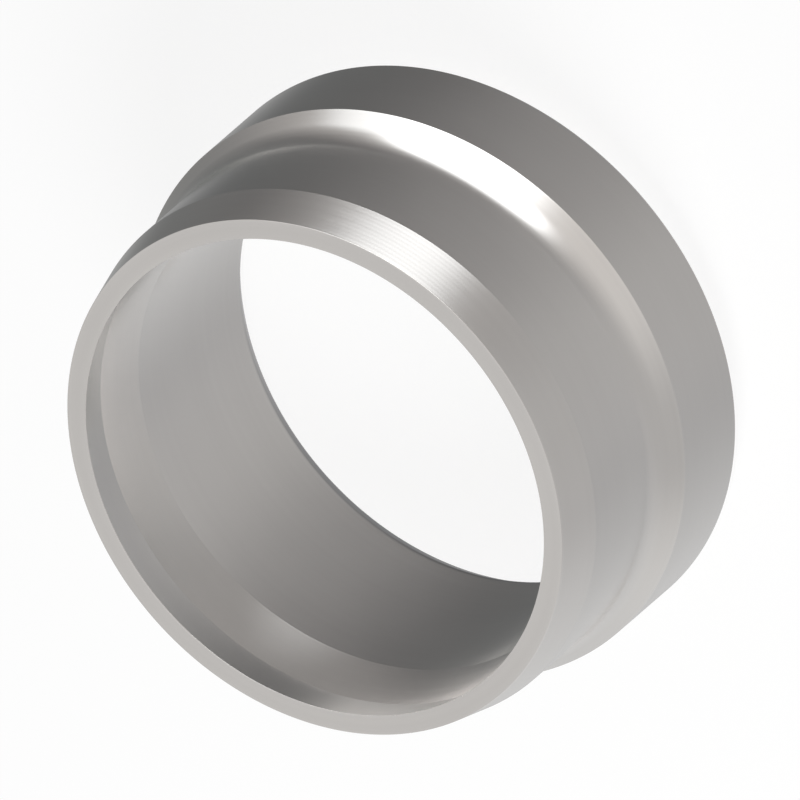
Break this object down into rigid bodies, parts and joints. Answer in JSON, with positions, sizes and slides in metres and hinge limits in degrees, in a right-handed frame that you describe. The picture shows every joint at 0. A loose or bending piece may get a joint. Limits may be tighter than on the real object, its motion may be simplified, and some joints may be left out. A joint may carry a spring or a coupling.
{
  "type": "cutting ring",
  "caption": "Turned steel cutting ring for compression tube fittings: bore with a sharp front lip and relief groove, conical nose, waist, ramp up to a thicker collar and bevelled rear shoulder.",
  "frame": {"origin": "centre of the rear face, on the bore axis, at the bottom of the part", "axes": "+Z along the bore axis from the rear face to the nose and its cutting edge; X and Y are any two square directions across the round body"},
  "size_m": [0.0194, 0.0194, 0.01],
  "materials": {
    "steel": "satin turned steel"
  },
  "bodies": {
    "root": {"cutting_ring": "steel"}
  },
  "joints": []
}
